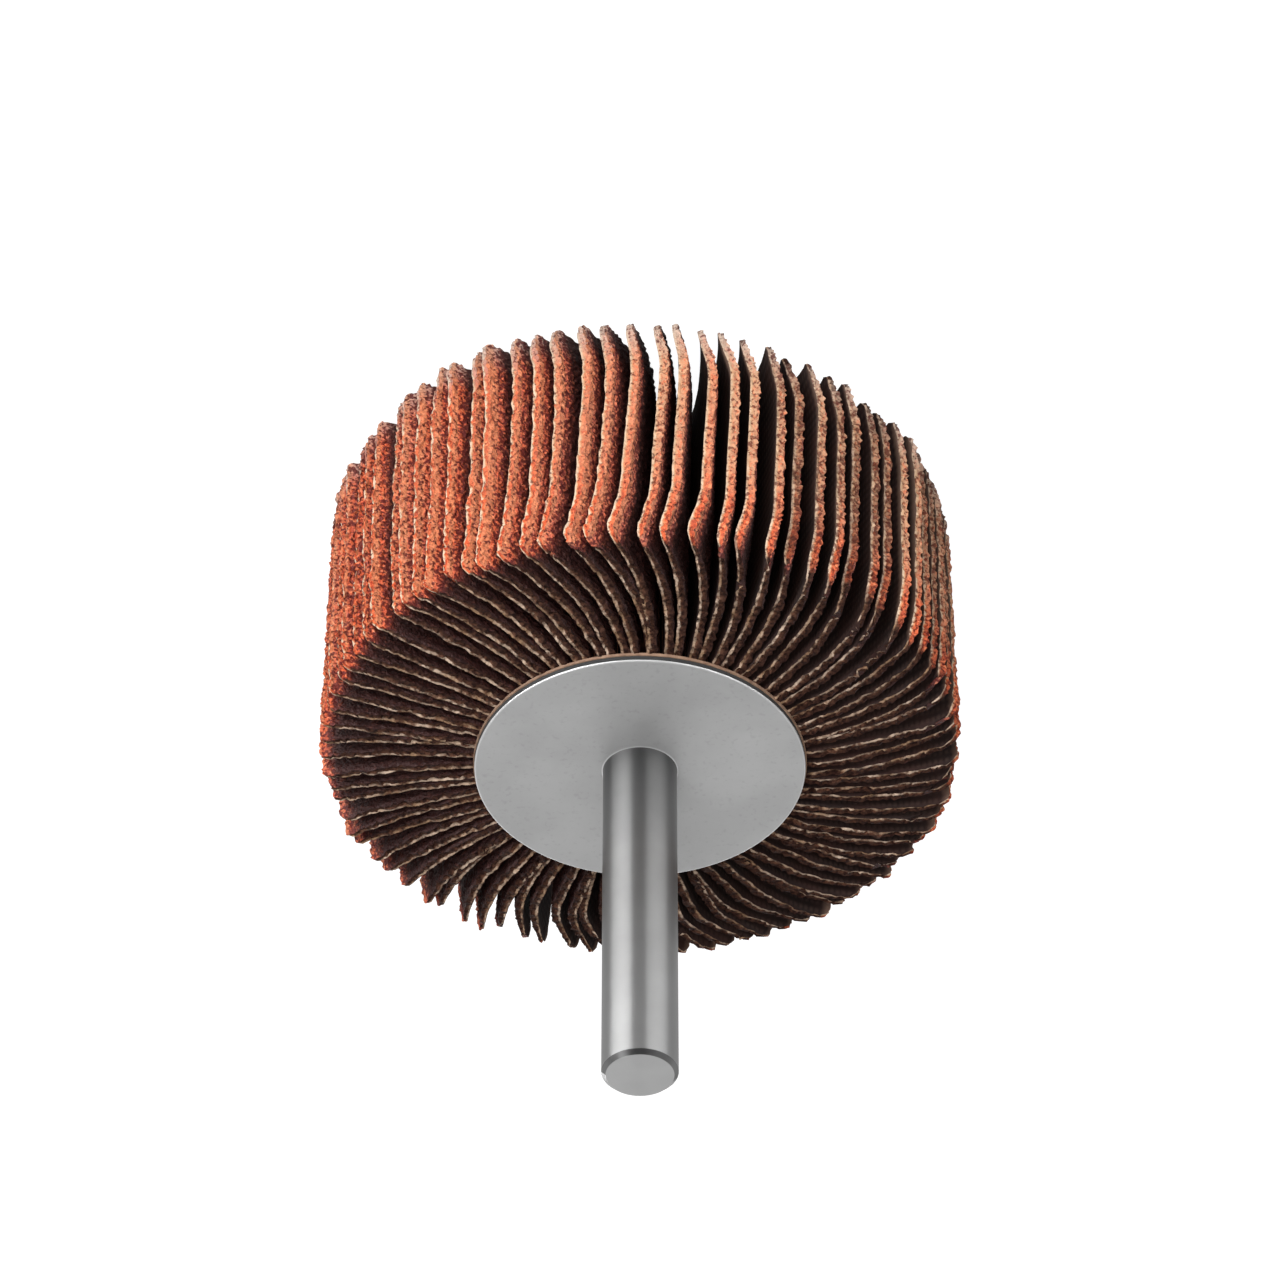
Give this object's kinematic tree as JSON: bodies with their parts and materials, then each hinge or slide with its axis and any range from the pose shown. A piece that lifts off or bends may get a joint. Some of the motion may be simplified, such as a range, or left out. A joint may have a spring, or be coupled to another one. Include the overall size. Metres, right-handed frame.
{
  "type": "flap wheel",
  "caption": "Mounted flap wheel: abrasive cloth flaps lean round a resin hub between two steel washers, on a plain steel spindle that a drill or die grinder grips.",
  "frame": {"origin": "on the wheel's axis, at the rear washer's outer face, on which the wheel stands", "axes": "+Z along the spindle, from the rear washer to the shank's end"},
  "size_m": [0.052, 0.052, 0.0573],
  "materials": {
    "spindle_steel": "satin, drawn bar",
    "washer_steel": "satin, faintly blotched",
    "fibre": "matte vulcanised fibre",
    "resin": "cast, dull",
    "abrasive_flap": "orange-brown grit on cotton cloth"
  },
  "bodies": {
    "root": {"spindle": "spindle_steel", "front_washer": "washer_steel", "rear_washer": "washer_steel", "front_fibre_ring": "fibre", "rear_fibre_ring": "fibre", "resin_core": "resin", "flap_pair_01": "abrasive_flap", "flap_pair_02": "abrasive_flap", "flap_pair_03": "abrasive_flap", "flap_pair_04": "abrasive_flap", "flap_pair_05": "abrasive_flap", "flap_pair_06": "abrasive_flap", "flap_pair_07": "abrasive_flap", "flap_pair_08": "abrasive_flap", "flap_pair_09": "abrasive_flap", "flap_pair_10": "abrasive_flap", "flap_pair_11": "abrasive_flap", "flap_pair_12": "abrasive_flap", "flap_pair_13": "abrasive_flap", "flap_pair_14": "abrasive_flap", "flap_pair_15": "abrasive_flap", "flap_pair_16": "abrasive_flap", "flap_pair_17": "abrasive_flap", "flap_pair_18": "abrasive_flap", "flap_pair_19": "abrasive_flap", "flap_pair_20": "abrasive_flap", "flap_pair_21": "abrasive_flap", "flap_pair_22": "abrasive_flap", "flap_pair_23": "abrasive_flap", "flap_pair_24": "abrasive_flap", "flap_pair_25": "abrasive_flap", "flap_pair_26": "abrasive_flap", "flap_pair_27": "abrasive_flap", "flap_pair_28": "abrasive_flap", "flap_pair_29": "abrasive_flap", "flap_pair_30": "abrasive_flap", "flap_pair_31": "abrasive_flap", "flap_pair_32": "abrasive_flap", "flap_pair_33": "abrasive_flap", "flap_pair_34": "abrasive_flap", "flap_pair_35": "abrasive_flap", "flap_pair_36": "abrasive_flap", "flap_pair_37": "abrasive_flap", "flap_pair_38": "abrasive_flap", "flap_pair_39": "abrasive_flap", "flap_pair_40": "abrasive_flap", "flap_pair_41": "abrasive_flap", "flap_pair_42": "abrasive_flap", "flap_pair_43": "abrasive_flap"}
  },
  "joints": []
}
